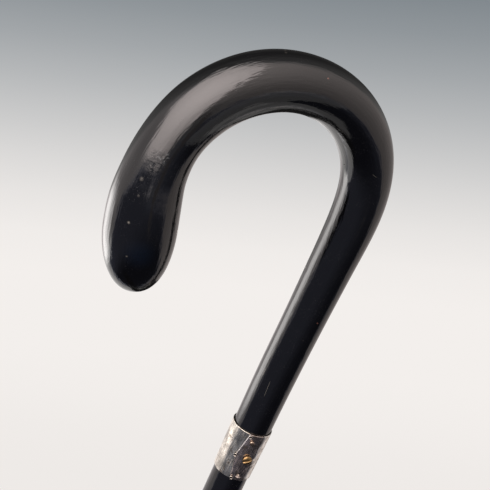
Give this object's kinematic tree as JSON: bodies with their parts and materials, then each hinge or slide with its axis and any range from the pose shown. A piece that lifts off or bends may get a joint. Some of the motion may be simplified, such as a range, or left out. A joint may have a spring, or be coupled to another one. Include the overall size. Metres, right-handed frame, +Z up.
{
  "type": "bent handle walking stick",
  "caption": "Walking stick with a bent crook handle that swells to a rounded nose, a tapering shaft, a conical metal collar over the joint and a metal-tipped ferrule.",
  "frame": {"origin": "centre of the ferrule tip's flat face, where the stick stands on the ground", "axes": "+Z up the straight shaft; the crook lies in the XZ plane and turns over towards -X; Y is across the crook's flat side"},
  "size_m": [0.1221, 0.031, 0.9002],
  "materials": {
    "lacquered_wood": "glossy black lacquer with fine scratches",
    "collar_silver": "worn, lightly tarnished silver",
    "pin_brass": "aged brass",
    "ferrule_brass": "satin brass, scuffed",
    "tip_iron": "dark worn iron",
    "dowel_steel": "plain steel"
  },
  "bodies": {
    "root": {"crook_handle": "lacquered_wood", "shaft": "lacquered_wood", "joint_dowel": "dowel_steel", "collar": "collar_silver", "collar_stud": "pin_brass", "collar_pin": "pin_brass", "collar_brad_top": "collar_silver", "collar_brad_middle": "collar_silver", "collar_brad_bottom": "collar_silver", "ferrule_shell": "ferrule_brass", "ferrule_tip": "tip_iron", "ferrule_nail_front": "ferrule_brass", "ferrule_nail_back": "ferrule_brass"}
  },
  "joints": []
}
